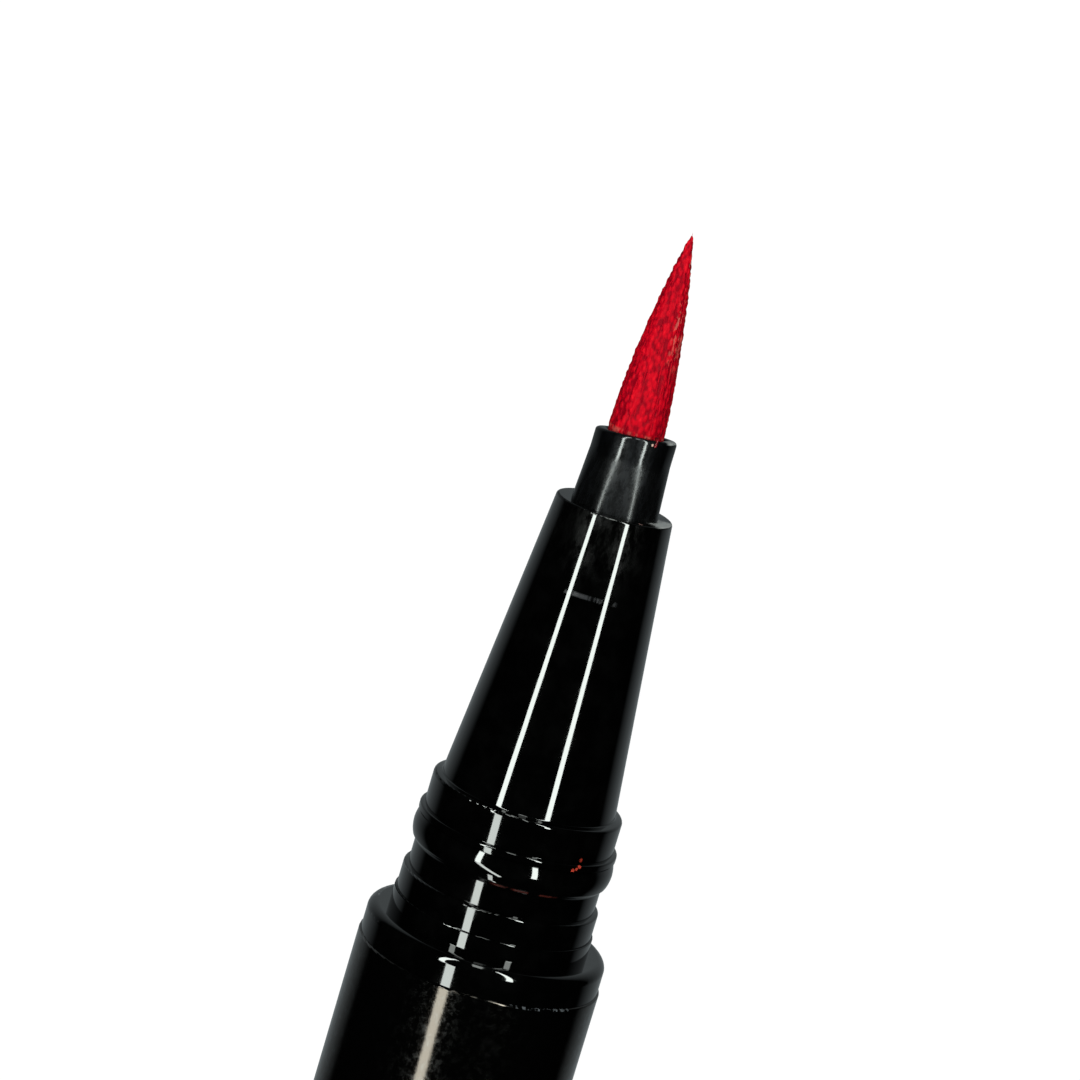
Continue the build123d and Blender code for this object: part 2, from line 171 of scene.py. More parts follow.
# ---------------------------------------------------------------- node helpers
class Finish:
    """A material whose pattern follows the object's own coordinates."""

    def __init__(self, name):
        self.material = bpy.data.materials.new(name)
        self.material.use_nodes = True
        self.tree = self.material.node_tree
        self.shader = self.tree.nodes["Principled BSDF"]
        self.place = self.tree.nodes.new("ShaderNodeTexCoord").outputs["Object"]
        parts = self.add("ShaderNodeSeparateXYZ")
        self.feed(parts.inputs[0], self.place)
        self.x, self.y, self.z = parts.outputs

    def add(self, kind, **settings):
        """Adds a node with its settings."""
        node = self.tree.nodes.new(kind)
        for key, value in settings.items():
            setattr(node, key, value)
        return node

    def feed(self, socket, value):
        """Links an output, or sets a plain value."""
        if isinstance(value, bpy.types.NodeSocket):
            self.tree.links.new(value, socket)
        else:
            socket.default_value = value

    def set(self, **values):
        """Feeds the shader's sockets by name."""
        for key, value in values.items():
            self.feed(self.shader.inputs[key.replace("_", " ")], value)

    def math(self, operation, first, second=0.0, clamp=False):
        """One sum of two values."""
        node = self.add("ShaderNodeMath", operation=operation, use_clamp=clamp)
        self.feed(node.inputs[0], first)
        self.feed(node.inputs[1], second)
        return node.outputs[0]

    def times(self, first, second):
        """Product of two values."""
        return self.math("MULTIPLY", first, second)

    def plus(self, first, second):
        """Sum of two values, kept between 0 and 1."""
        return self.math("ADD", first, second, clamp=True)

    def noise(self, scale, detail=3.0, roughness=0.55, distortion=0.0):
        """Noise with a scale along each axis, in waves per metre."""
        stretch = self.add("ShaderNodeMapping")
        self.feed(stretch.inputs["Vector"], self.place)
        stretch.inputs["Scale"].default_value = scale
        node = self.add("ShaderNodeTexNoise")
        self.feed(node.inputs["Vector"], stretch.outputs["Vector"])
        node.inputs["Scale"].default_value = 1.0
        node.inputs["Detail"].default_value = detail
        node.inputs["Roughness"].default_value = roughness
        node.inputs["Distortion"].default_value = distortion
        return node.outputs["Fac"]

    def step(self, value, low, high, start=0.0, end=1.0):
        """Smooth step of a value from one range to another."""
        node = self.add("ShaderNodeMapRange", interpolation_type="SMOOTHSTEP")
        self.feed(node.inputs["Value"], value)
        node.inputs["From Min"].default_value = low
        node.inputs["From Max"].default_value = high
        node.inputs["To Min"].default_value = start
        node.inputs["To Max"].default_value = end
        return node.outputs["Result"]

    def band(self, value, middle, half, soft):
        """1 inside a band about a middle, 0 outside."""
        off = self.math("ABSOLUTE", self.math("SUBTRACT", value, middle))
        return self.step(off, half, half + soft, 1.0, 0.0)

    def colours(self, share, first, second):
        """Mix from a first colour to a second one."""
        node = self.add("ShaderNodeMix", data_type="RGBA")
        self.feed(node.inputs["Factor"], share)
        for socket, value in (("A", first), ("B", second)):
            sockets = [item for item in node.inputs if item.name == socket and item.type == "RGBA"]
            self.feed(sockets[0], value)
        return [item for item in node.outputs if item.type == "RGBA"][0]

    def relief(self, height, distance, strength=1.0, under=None):
        """Bump from a height, over another bump if one is given."""
        node = self.add("ShaderNodeBump")
        self.feed(node.inputs["Height"], height)
        node.inputs["Distance"].default_value = distance
        node.inputs["Strength"].default_value = strength
        if under is not None:
            self.feed(node.inputs["Normal"], under)
        return node.outputs["Normal"]

    def turn(self):
        """Angle around the pen in degrees, from straight up towards -Y."""
        return self.times(self.math("ARCTAN2", self.times(self.y, -1.0), self.z), 180 / math.pi)

    def spot(self, centre, radius, soft):
        """1 inside a ball about a point."""
        node = self.add("ShaderNodeVectorMath", operation="DISTANCE")
        self.feed(node.inputs[0], self.place)
        node.inputs[1].default_value = centre
        return self.step(node.outputs["Value"], radius, radius + soft, 1.0, 0.0)


def round_place(x, radius, turn):
    """Point on the pen's surface: turn is in degrees from straight up towards -Y."""
    angle = math.radians(turn)
    return Vector((x, -radius * math.sin(angle), radius * math.cos(angle)))


def grey(level):
    """Opaque grey."""
    return (level, level, level, 1.0)


# ---------------------------------------------------------------- finishes
INK_RED = (0.34, 0.032, 0.018, 1)
INK_BROWN = (0.045, 0.008, 0.006, 1)
DUST = (0.22, 0.13, 0.12, 1)


def ink_traces(f):
    """Share of dried ink on the front section: a line behind the bead, and spots beside the lip."""
    line = f.band(f.x, 5.33 * MM, 0.035 * MM, 0.05 * MM)
    line = f.times(line, f.band(f.turn(), 13, 16, 6))
    line = f.times(line, f.step(f.noise((900, 1500, 1500), detail=2), 0.42, 0.52))
    spots = f.spot(round_place(7.34 * MM, 5.02 * MM, 43.0), 0.13 * MM, 0.08 * MM)
    for x, turn, size in ((7.08, 41.3, 0.07), (6.95, 39.4, 0.05), (6.86, 37.0, 0.07)):
        spots = f.plus(spots, f.spot(round_place(x * MM, 5.06 * MM, turn), size * MM, 0.06 * MM))
    return line, spots


def section_finish():
    """Polished jet-black moulding with handling marks, traces of red ink, and a painted reflection:
    light grey on one side of its front face.
    """
    f = Finish("section_gloss")
    fine = f.noise((900, 900, 900), detail=4)
    haze_zone = f.step(f.x, CONE_TOP_X - 4.2 * MM, CONE_TOP_X - 0.6 * MM)
    smear = f.step(f.noise((900, 1700, 1700), detail=6, roughness=0.7), 0.4, 0.7)
    scuff_line = f.band(f.x, CONE_TOP_X - 4.0 * MM, 0.05 * MM, 0.1 * MM)
    scuff_line = f.times(scuff_line, f.band(f.turn(), 0, 20, 6))
    scuff = f.times(scuff_line, f.step(f.noise((500, 1500, 1500), detail=3), 0.45, 0.56))
    line, spots = ink_traces(f)
    dark = f.colours(f.step(fine, 0.4, 0.7), grey(0.0003), grey(0.0008))
    marked = f.colours(f.times(scuff, 0.6), dark, (0.02, 0.02, 0.024, 1))
    # The front face turns light grey on one side (turn 72): a painted reflection of the lit floor, not
    # wear.
    face = f.step(f.x, CONE_TOP_X - 0.05 * MM, CONE_TOP_X - 0.02 * MM)
    painted_face_reflection = f.colours(f.times(face, f.band(f.turn(), 72, 14, 12)), marked, (0.3, 0.3, 0.3, 1))
    dust_spot = f.spot(round_place(CONE_TOP_X, 2.66 * MM, 31.5), 0.08 * MM, 0.06 * MM)
    dust = f.colours(dust_spot, painted_face_reflection, DUST)
    inked = f.colours(line, dust, INK_BROWN)
    f.set(
        Base_Color=f.colours(spots, inked, INK_RED),
        Roughness=f.plus(f.step(fine, 0.3, 0.75, 0.03, 0.06), f.times(f.plus(line, spots), 0.3)),
        IOR=1.5,
        Coat_Weight=f.plus(f.times(f.times(haze_zone, smear), 0.26), f.times(scuff, 0.5)),
        Coat_Roughness=0.42,
        Normal=f.relief(f.noise((350, 500, 500), detail=2), 0.008 * MM, 0.3),
    )
    return f.material


def cap_finish():
    """Polished black moulding with fine rubbing marks along the pen."""
    f = Finish("cap_gloss")
    rub = f.noise((120, 3200, 3200), detail=4, roughness=0.7)
    smear = f.noise((160, 220, 220), detail=5, roughness=0.65)
    f.set(
        Base_Color=f.colours(f.step(rub, 0.5, 0.8), grey(0.0006), grey(0.0022)),
        Roughness=f.step(smear, 0.35, 0.7, 0.05, 0.14),
        IOR=1.5,
        Coat_Weight=f.times(f.step(rub, 0.55, 0.75), 0.12),
        Coat_Roughness=0.4,
        Normal=f.relief(f.noise((140, 240, 240), detail=2), 0.012 * MM, 0.4),
    )
    return f.material


def barrel_finish():
    """Satin black tube whose skin is a little wavy, with pale chips behind its lip that are partly wear
    and partly a painted highlight.
    """
    f = Finish("barrel_satin")
    speck = f.noise((2600, 2600, 2600), detail=4, roughness=0.75)
    wave = f.noise((110, 230, 230), detail=1.5)
    chips = f.step(f.noise((800, 3600, 3600)), 0.5, 0.58)
    # Pale chips behind the lip, kept to the side where the left strip glints on it (turn 33): wear, and
    # also a painted highlight.
    lip_chips_and_glint = f.times(f.band(f.x, -0.05 * MM, 0.03 * MM, 0.05 * MM), chips)
    lip_chips_and_glint = f.times(lip_chips_and_glint, f.band(f.turn(), 33, 14, 8))
    under = f.relief(wave, 0.035 * MM, 0.8)
    f.set(
        Base_Color=f.colours(lip_chips_and_glint, grey(0.0004), (0.06, 0.064, 0.07, 1)),
        Roughness=f.step(speck, 0.3, 0.8, 0.05, 0.1),
        IOR=1.46,
        Specular_Tint=(1.0, 0.86, 0.74, 1),
        Coat_Weight=f.times(f.step(speck, 0.48, 0.64), 0.26),
        Coat_Roughness=0.22,
        Coat_Tint=(0.84, 0.93, 1.0, 1),
        Normal=f.relief(speck, 0.004 * MM, 0.5, under),
    )
    return f.material


def nozzle_finish():
    """Semi-gloss black tip holder with a hazy film of dried ink, a paler colour at the front as painted
    sheen, and a painted reflection on one side of its rim.
    """
    f = Finish("nozzle_semigloss")
    mottle = f.noise((1300, 2600, 2600), detail=6, roughness=0.75)
    smear = f.noise((500, 1300, 1300), detail=4, roughness=0.6)
    lower = f.step(f.x, CONE_TOP_X + 2.4 * MM, CONE_TOP_X + 2.9 * MM, 1.0, 0.0)
    # A frosted coat all round, strongest at the front between the streaks, where it also lifts the base
    # colour to grey: the frosting is real, the grey is painted sheen.
    haze_and_sheen = f.times(f.step(mottle, 0.32, 0.7, 0.2, 1.0), f.step(smear, 0.3, 0.65, 0.5, 1.0))
    haze_and_sheen = f.times(haze_and_sheen, f.plus(f.band(f.turn(), 2, 20, 16), 0.25))
    # Light grey on the rim's front face at one side (turn 74): a painted reflection, not wear.
    painted_face_reflection = f.step(f.x, MOUTH_X + 0.08 * MM, MOUTH_X + 0.13 * MM)
    painted_face_reflection = f.times(painted_face_reflection, f.band(f.turn(), 74, 14, 12))
    painted_face_reflection = f.times(painted_face_reflection, f.step(mottle, 0.35, 0.55, 0.4, 1.0))
    skin = f.colours(haze_and_sheen, grey(0.0006), (0.004, 0.0045, 0.006, 1))
    f.set(
        Base_Color=f.colours(painted_face_reflection, skin, (0.34, 0.34, 0.34, 1)),
        Roughness=f.plus(f.step(mottle, 0.3, 0.8, 0.07, 0.16), f.times(lower, 0.17)),
        Specular_IOR_Level=0.34,
        IOR=1.5,
        Coat_Weight=f.times(haze_and_sheen, 0.34),
        Coat_Roughness=0.48,
        Coat_Tint=(0.84, 0.92, 1.0, 1),
        Normal=f.relief(mottle, 0.006 * MM, 0.5),
    )
    return f.material


def brush_finish(ink):
    """Filaments wet with red ink, with painted shade between the lumps, painted highlights on their
    tops, and pale marks on one side as painted highlights.
    """
    f = Finish("wet_filaments")
    lump = f.add("ShaderNodeAttribute", attribute_name="lump").outputs["Fac"]
    streak = f.noise((900, 3600, 3600), detail=3, roughness=0.6)
    grain = f.noise((3500, 9000, 9000), detail=3)
    # Darker ink in the low spots between lumps is painted shade; lighter ink on the tops of the lumps is
    # a painted highlight.
    crease_shade = (ink[0] * 0.5, ink[1] * 0.3, ink[2] * 0.7, 1)
    body = (*ink, 1)
    painted_highlight_crest = (min(ink[0] * 1.4, 1), ink[1] * 3.5, ink[2] * 1.4, 1)
    streaks = f.times(f.step(streak, 0.35, 0.7, -0.3, 0.3), 0.5)
    level = f.plus(f.step(lump, 0.0, 1.0, 0.0, 0.85), streaks)
    low = f.colours(f.step(level, 0.05, 0.5), crease_shade, body)
    full = f.colours(f.step(level, 0.55, 1.0), low, painted_highlight_crest)
    # Pale marks on one side towards the point: painted highlights where the lights would glint on wet
    # lumps.
    far = f.step(f.x, MOUTH_X + 2.5 * MM, MOUTH_X + 7 * MM)
    side = f.band(f.turn(), 44, 18, 14)
    fleck_highlight = f.times(f.times(far, side), f.step(f.noise((2000, 4600, 4600), detail=1), 0.52, 0.6))
    fringe = f.band(f.x, MOUTH_X + 0.1 * MM, 0.06 * MM, 0.14 * MM)
    fringe = f.times(fringe, f.step(streak, 0.45, 0.6))
    pale = f.plus(f.times(fleck_highlight, 0.55), f.times(fringe, 0.35))
    f.set(
        Base_Color=f.colours(pale, full, (0.62, 0.16, 0.13, 1)),
        Roughness=f.step(grain, 0.3, 0.7, 0.4, 0.6),
        IOR=1.38,
        Specular_IOR_Level=0.05,
        Normal=f.relief(grain, 0.012 * MM, 0.5),
    )
    return f.material


def ink_finish(painted_highlight_crest):
    """Drying drop of red ink, with a pale painted highlight on its top."""
    f = Finish("drying_ink")
    cloud = f.noise((5000, 5000, 5000), detail=3)
    wet = f.colours(f.step(cloud, 0.35, 0.65), (0.05, 0.001, 0.003, 1), (0.17, 0.006, 0.01, 1))
    f.set(
        # The pale spot at the top of the drop is a painted highlight.
        Base_Color=f.colours(f.spot(painted_highlight_crest, 0.04 * MM, 0.06 * MM), wet, (0.5, 0.33, 0.27, 1)),
        Roughness=0.08,
        IOR=1.36,
    )
    return f.material


def stock_finish(name, colour, roughness, grain=(1500, 1500, 1500), relief=0.01 * MM, **more):
    """Moulded, drawn or spun stock with its own grain, for pieces inside the pen."""
    f = Finish(name)
    grains = f.noise(grain, detail=4, roughness=0.6)
    dark = tuple(part * 0.72 for part in colour) + (1,)
    f.set(
        Base_Color=f.colours(f.step(grains, 0.3, 0.7), dark, tuple(colour) + (1,)),
        Roughness=f.step(grains, 0.3, 0.7, roughness * 0.8, min(roughness * 1.2, 1)),
        Normal=f.relief(grains, relief, 0.5),
        **more,
    )
    return f.material


def foam_finish():
    """Open-cell foam, with its cells sunk in as pits, and painted shade in them."""
    f = Finish("cell_foam")
    cells = f.add("ShaderNodeTexVoronoi", feature="F1")
    f.feed(cells.inputs["Vector"], f.place)
    cells.inputs["Scale"].default_value = 2600
    pits_and_shade = f.step(cells.outputs["Distance"], 0.15, 0.6)
    # The dark colour inside the pits is painted shade.
    f.set(
        Base_Color=f.colours(pits_and_shade, (0.2, 0.19, 0.17, 1), (0.7, 0.7, 0.66, 1)),
        Roughness=0.9,
        Normal=f.relief(pits_and_shade, 0.1 * MM, 0.8),
    )
    return f.material


def dress(node, material):
    """Gives a CAD node its finish."""
    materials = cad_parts[node].data.materials
    if not len(materials):
        materials.append(material)
    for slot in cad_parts[node].material_slots:
        slot.material = material


# ---------------------------------------------------------------- modelling helpers
def deselect():
    """Leaves nothing selected, in object mode."""
    if bpy.context.object and bpy.context.object.mode != "OBJECT":
        bpy.ops.object.mode_set(mode="OBJECT")
    bpy.ops.object.select_all(action="DESELECT")


def start_ring(x, radius, corners):
    """Circle across the pen axis, left in edit mode with its edge selected."""
    deselect()
    bpy.ops.mesh.primitive_circle_add(
        vertices=corners, radius=radius, location=(x, 0, 0), rotation=(0, math.pi / 2, 0),
    )
    bpy.ops.object.transform_apply(location=True, rotation=True, scale=True)
    bpy.ops.object.mode_set(mode="EDIT")
    bpy.ops.mesh.select_all(action="SELECT")
    return bpy.context.object


def next_ring(step, ratio, x):
    """Extrudes the selected ring along the pen and scales it."""
    bpy.ops.mesh.extrude_region_move(TRANSFORM_OT_translate={"value": (step, 0, 0)})
    bpy.ops.transform.resize(value=(1, ratio, ratio), center_override=(x, 0, 0))


def loft(outline, corners):
    """Shell turned about the pen axis through (x, radius) pairs, left in edit mode on its last ring."""
    (x, radius), *rest = outline
    piece = start_ring(x, radius, corners)
    for new_x, new_radius in rest:
        next_ring(new_x - x, new_radius / radius, new_x)
        x, radius = new_x, new_radius
    return piece


def outward():
    """Turns every face of the edited mesh outwards."""
    bpy.ops.mesh.select_all(action="SELECT")
    bpy.ops.mesh.normals_make_consistent(inside=False)
    bpy.ops.object.mode_set(mode="OBJECT")


def take_modifier(piece, kind, **settings):
    """Adds a modifier to a piece and applies it."""
    modifier = piece.modifiers.new(kind.lower(), kind)
    for key, value in settings.items():
        setattr(modifier, key, value)
    bpy.context.view_layer.objects.active = piece
    bpy.ops.object.modifier_apply(modifier=modifier.name)


# ---------------------------------------------------------------- brush
LUMP_STRETCH = 1.8       # how much longer than wide the lumps of the wet surface are
LUMP_SIZE = 0.19 * MM
LUMP_HEIGHT = 0.09 * MM
ROOT_DEPTH = 1.3 * MM    # brush inside the nozzle
BULGE = 0.05 * MM        # how much fuller the brush is on the side away from its lean
CORE_CORNERS = 48
CORE_RINGS = 44
STRAND_CORNERS = 5
STRAND_SEED = 7
STRAND_SWING = 0.16 * MM    # how far a strand wanders to each side
SLIM_RADIUS = 0.9 * MM      # strands get narrower where the brush is slimmer than this
LEAST_RADIUS = 0.12 * MM    # strands spread around the brush as if it were never slimmer


def brush_radius(settings, share):
    """Smooth outline of the brush, from its mouth (0) to its point (1)."""
    return settings.radius * max(1 - max(share, 0) ** 1.35, 0) ** 0.8


def brush_core(settings):
    """Closed core with the lumps of a wet surface, shaped short and then drawn out along the pen."""
    length = (TIP_X - MOUTH_X) / LUMP_STRETCH
    shares = [0.985 * (index / CORE_RINGS) ** 0.9 for index in range(CORE_RINGS + 1)]
    outline = [(-ROOT_DEPTH / LUMP_STRETCH, settings.radius * 0.98)]
    outline += [(share * length, brush_radius(settings, share)) for share in shares]
    core = loft(outline, CORE_CORNERS)
    next_ring(0.015 * length, 0.2, length)
    bpy.ops.mesh.merge(type="CENTER")
    bpy.ops.mesh.select_all(action="SELECT")
    bpy.ops.mesh.region_to_loop()
    bpy.ops.mesh.edge_face_add()
    outward()
    take_modifier(core, "SUBSURF", levels=2, render_levels=2)
    lumps = (("VORONOI", LUMP_SIZE, -LUMP_HEIGHT), ("CLOUDS", LUMP_SIZE * 1.7, LUMP_HEIGHT * 0.7))
    for kind, size, height in lumps:
        pattern = bpy.data.textures.new("lumps_" + kind.lower(), kind)
        pattern.noise_scale = size
        take_modifier(core, "DISPLACE", texture=pattern, strength=height, mid_level=0.5)
    bpy.ops.object.mode_set(mode="EDIT")
    bpy.ops.mesh.select_all(action="SELECT")
    bpy.ops.transform.resize(value=(LUMP_STRETCH, 1, 1), center_override=(0, 0, 0))
    bpy.ops.transform.translate(value=(MOUTH_X, 0, 0))
    bpy.ops.object.mode_set(mode="OBJECT")
    return core


def straight_strand(settings):
    """One tapered strand of filaments, 1 long, to be laid on the brush."""
    half = settings.thickness / 2
    outline = [(0, half * 0.3)]
    for share in (0.06, 0.2, 0.35):
        outline.append((share, half * (0.55 + 0.45 * math.sin(math.pi * share))))
    for share in (0.5, 0.62, 0.74, 0.86, 0.94):
        outline.append((share, half * (0.5 + 0.5 * math.sin(math.pi * share))))
    outline += [(1, half * 0.25)]
    strand = loft(outline, STRAND_CORNERS)
    outward()
    return strand


def lay_strand(mesh, settings, start, end, turn, draw):
    """Lays the straight strand along the brush's skin, from one share of its length to another."""
    length = TIP_X - MOUTH_X
    wander = draw.uniform(0.0, 50.0)
    sink = draw.uniform(0.75, 1.1) * settings.thickness / 2
    for vertex in mesh.vertices:
        share = start + (end - start) * vertex.co.x
        skin = brush_radius(settings, share)
        swing = noise.noise(Vector((share * 5, wander, 0))) * STRAND_SWING
        bead = 1 + 0.35 * noise.noise(Vector((share * 28, wander, 3)))
        narrow = min(1.0, 0.45 + skin / SLIM_RADIUS) * bead
        angle = turn + (swing + vertex.co.y * narrow) / max(skin, LEAST_RADIUS)
        out = max(skin - sink, 0) + vertex.co.z * narrow
        vertex.co = (MOUTH_X + share * length, -out * math.sin(angle), out * math.cos(angle))


def strands(settings):
    """All strands of the brush: each is a copy of one strand with its own mesh."""
    draw = random.Random(STRAND_SEED)
    model = straight_strand(settings)
    laid = []
    for index in range(settings.strands + settings.hairs):
        copy = model.copy()
        copy.data = model.data.copy()
        bpy.context.scene.collection.objects.link(copy)
        turn = index * math.pi * (3 - math.sqrt(5))
        start = draw.uniform(-0.11, 0.02) if index % 3 else draw.uniform(0.05, 0.5)
        end = min(start + draw.uniform(0.45, 1.05), draw.uniform(0.93, 0.995))
        if index >= settings.strands:
            start, end = 0.7, 1.0 + draw.uniform(0.005, 0.02)
        lay_strand(copy.data, settings, start, end, turn, draw)
        laid.append(copy)
    bpy.data.objects.remove(model)
    return laid


def join(pieces, name):
    """Joins pieces into the first one."""
    deselect()
    for piece in pieces:
        piece.select_set(True)
    bpy.context.view_layer.objects.active = pieces[0]
    bpy.ops.object.join()
    pieces[0].name = name
    pieces[0].data.name = name
    return pieces[0]


def mark_lumps(piece, settings):
    """Keeps each point's height over the smooth brush as an attribute, for the painted shade between the
    lumps and the painted highlight on their tops.
    """
    length = TIP_X - MOUTH_X
    heights = []
    for vertex in piece.data.vertices:
        skin = brush_radius(settings, (vertex.co.x - MOUTH_X) / length)
        over = math.hypot(vertex.co.y, vertex.co.z) - skin
        heights.append(min(max(over / LUMP_HEIGHT + 0.5, 0), 1))
    layer = piece.data.attributes.new("lump", "FLOAT", "POINT")
    layer.data.foreach_set("value", heights)


def lean_brush(piece, settings):
    """Leans the brush's point to one side and fills out that side."""
    length = TIP_X - MOUTH_X
    for vertex in piece.data.vertices:
        share = (vertex.co.x - MOUTH_X) / length
        along = min(max(share, 0), 1)
        fuller = BULGE * math.sin(math.pi * along) * max(vertex.co.y, 0) / settings.radius
        vertex.co.y += settings.lean * (0.3 * min(max(share * 8 + 1, 0), 1) + 0.7 * along) + fuller


class MARKER_OT_brush(bpy.types.Operator):
    """Builds the wet brush from strands of filaments over a lumpy core"""

    bl_idname = "marker.brush"
    bl_label = "Brush"

    def execute(self, context):
        settings = context.scene.marker_brush
        brush = join([brush_core(settings)] + strands(settings), "wet_brush")
        mark_lumps(brush, settings)
        lean_brush(brush, settings)
        deselect()
        brush.select_set(True)
        context.view_layer.objects.active = brush
        bpy.ops.object.shade_smooth()
        brush.data.materials.clear()
        brush.data.materials.append(brush_finish(settings.ink))
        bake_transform(brush)
        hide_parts("brush_tuft")
        return {"FINISHED"}


# ---------------------------------------------------------------- tip holder
FIT_GAP = 0.02 * MM         # between the tip holder and what it touches
BACK_CHAMFER = 0.1 * MM
RIM_LENGTH = 0.9 * MM       # round front end behind the mouth
MOUTH_CHAMFER = 0.06 * MM
SLANT_LENGTH = 0.8 * MM     # length over which the rim's slant comes in
HOLDER_CORNERS = 192
MERGE_DISTANCE = 0.001 * MM


def flat_sided(settings, angle):
    """Distance of the base's outline from the pen axis at an angle: flats joined by round corners."""
    half_turn = math.pi / settings.flats
    side = round(angle / (2 * half_turn)) * 2 * half_turn
    inner = (settings.base_radius - settings.corner) * math.tan(half_turn)
    off = angle - side
    across = math.tan(off) * settings.base_radius
    if abs(across) <= inner:
        return math.hypot(settings.base_radius, across)
    reach = math.hypot(settings.base_radius - settings.corner, inner)
    lean = math.atan2(inner, settings.base_radius - settings.corner) - abs(off)
    return reach * math.cos(lean) + math.sqrt(settings.corner ** 2 - (reach * math.sin(lean)) ** 2)


class MARKER_OT_nozzle(bpy.types.Operator):
    """Builds the tip holder, with flats around its base that run out into a round front"""

    bl_idname = "marker.nozzle"
    bl_label = "Tip holder"

    def execute(self, context):
        settings = context.scene.marker_nozzle
        rim = settings.rim_radius
        stem = settings.base_radius - FIT_GAP
        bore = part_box("brush_ferrule")[1].z + FIT_GAP
        wick_bore = WICK_RADIUS + FIT_GAP
        seat_x = FERRULE_BACK_X - FIT_GAP
        outline = [(NOZZLE_BACK_X, wick_bore), (NOZZLE_BACK_X, stem - BACK_CHAMFER)]
        outline += [(NOZZLE_BACK_X + BACK_CHAMFER, stem)]
        outline += [(CONE_TOP_X - 0.4 * MM, stem), (CONE_TOP_X - 0.04 * MM, stem)]
        for share in (0, 0.1, 0.3, 0.5, 0.7, 0.85):
            outline.append((CONE_TOP_X + share * settings.taper, settings.base_radius))
        outline += [(CONE_TOP_X + settings.taper, rim), (MOUTH_X - RIM_LENGTH, rim)]
        outline += [(MOUTH_X - settings.rim_round, rim)]
        for quarter in (22.5, 45, 67.5, 90):
            angle = math.radians(quarter)
            ahead = settings.rim_round * (math.sin(angle) - 1)
            outline.append((MOUTH_X + ahead, rim - settings.rim_round * (1 - math.cos(angle))))
        outline += [(MOUTH_X, bore + MOUTH_CHAMFER)]
        outline += [(MOUTH_X - 0.05 * MM, bore), (MOUTH_X - 0.5 * MM, bore)]
        outline += [(seat_x, bore), (seat_x, wick_bore), (NOZZLE_BACK_X, wick_bore)]
        nozzle = loft(outline, HOLDER_CORNERS)
        bpy.ops.mesh.select_all(action="SELECT")
        bpy.ops.mesh.remove_doubles(threshold=MERGE_DISTANCE)
        outward()
        self.cut_flats(nozzle, settings)
        self.slant_rim(nozzle, settings)
        nozzle.name = "tip_holder"
        nozzle.data.name = "tip_holder"
        deselect()
        nozzle.select_set(True)
        context.view_layer.objects.active = nozzle
        bpy.ops.object.shade_smooth_by_angle(angle=math.radians(28))
        nozzle.data.materials.append(nozzle_finish())
        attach(nozzle, "marker")
        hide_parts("nozzle")
        return {"FINISHED"}

    def slant_rim(self, nozzle, settings):
        """Lets the rim stand a little further out on one side."""
        side = round_place(0, 1 / settings.rim_radius, settings.slant_turn)
        for vertex in nozzle.data.vertices:
            near = min(max((vertex.co.x - MOUTH_X) / SLANT_LENGTH + 1, 0), 1)
            vertex.co.x += settings.rim_slant * near * side.dot(vertex.co)

    def cut_flats(self, nozzle, settings):
        """Gives the rings of the taper their flat sides, which fade out towards the round front."""
        for vertex in nozzle.data.vertices:
            share = (vertex.co.x - CONE_TOP_X) / settings.taper
            radius = math.hypot(vertex.co.y, vertex.co.z)
            if not -0.001 < share < 0.999 or radius < settings.rim_radius:
                continue
            sided = flat_sided(settings, math.atan2(vertex.co.y, vertex.co.z))
            wanted = sided + (settings.rim_radius - sided) * share
            vertex.co.y *= wanted / radius
            vertex.co.z *= wanted / radius


# ---------------------------------------------------------------- ink drop
class MARKER_OT_ink_drop(bpy.types.Operator):
    """Builds the small drop of ink that dries on the nozzle's rim, with its tail to the brush"""

    bl_idname = "marker.ink_drop"
    bl_label = "Ink drop"

    def execute(self, context):
        rim = context.scene.marker_nozzle.rim_radius
        centre = round_place(MOUTH_X - 0.01 * MM, rim - 0.04 * MM, 25)
        tip = round_place(MOUTH_X + 0.06 * MM, rim - 0.02 * MM, 24)
        ball = self.blob(centre - (tip - centre), tip, 0.085 * MM)
        start = round_place(MOUTH_X - 0.12 * MM, rim - 0.02 * MM, 29)
        bend = round_place(MOUTH_X + 0.2 * MM, rim - 0.01 * MM, 31)
        end = round_place(MOUTH_X + 0.32 * MM, rim - 0.42 * MM, 34)
        tail = [self.blob(start, bend, 0.07 * MM), self.blob(bend, end, 0.09 * MM)]
        drop = join([ball] + tail, "ink_drop")
        bpy.ops.object.shade_smooth()
        # The drop's painted highlight sits at this point.
        drop.data.materials.append(ink_finish(round_place(centre.x, rim + 0.03 * MM, 24)))
        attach(drop, "marker")
        return {"FINISHED"}

    def blob(self, start, end, radius):
        """Round-ended bead of ink from one point to another, a little flattened."""
        deselect()
        bpy.ops.mesh.primitive_uv_sphere_add(segments=20, ring_count=12, radius=1.0)
        piece = bpy.context.object
        facing = (end - start).to_track_quat("Z", "Y")
        for vertex in piece.data.vertices:
            across = facing @ Vector((vertex.co.x * radius, vertex.co.y * radius * 0.8, 0))
            vertex.co = start.lerp(end, 0.5 + vertex.co.z / 2) + across
        return piece


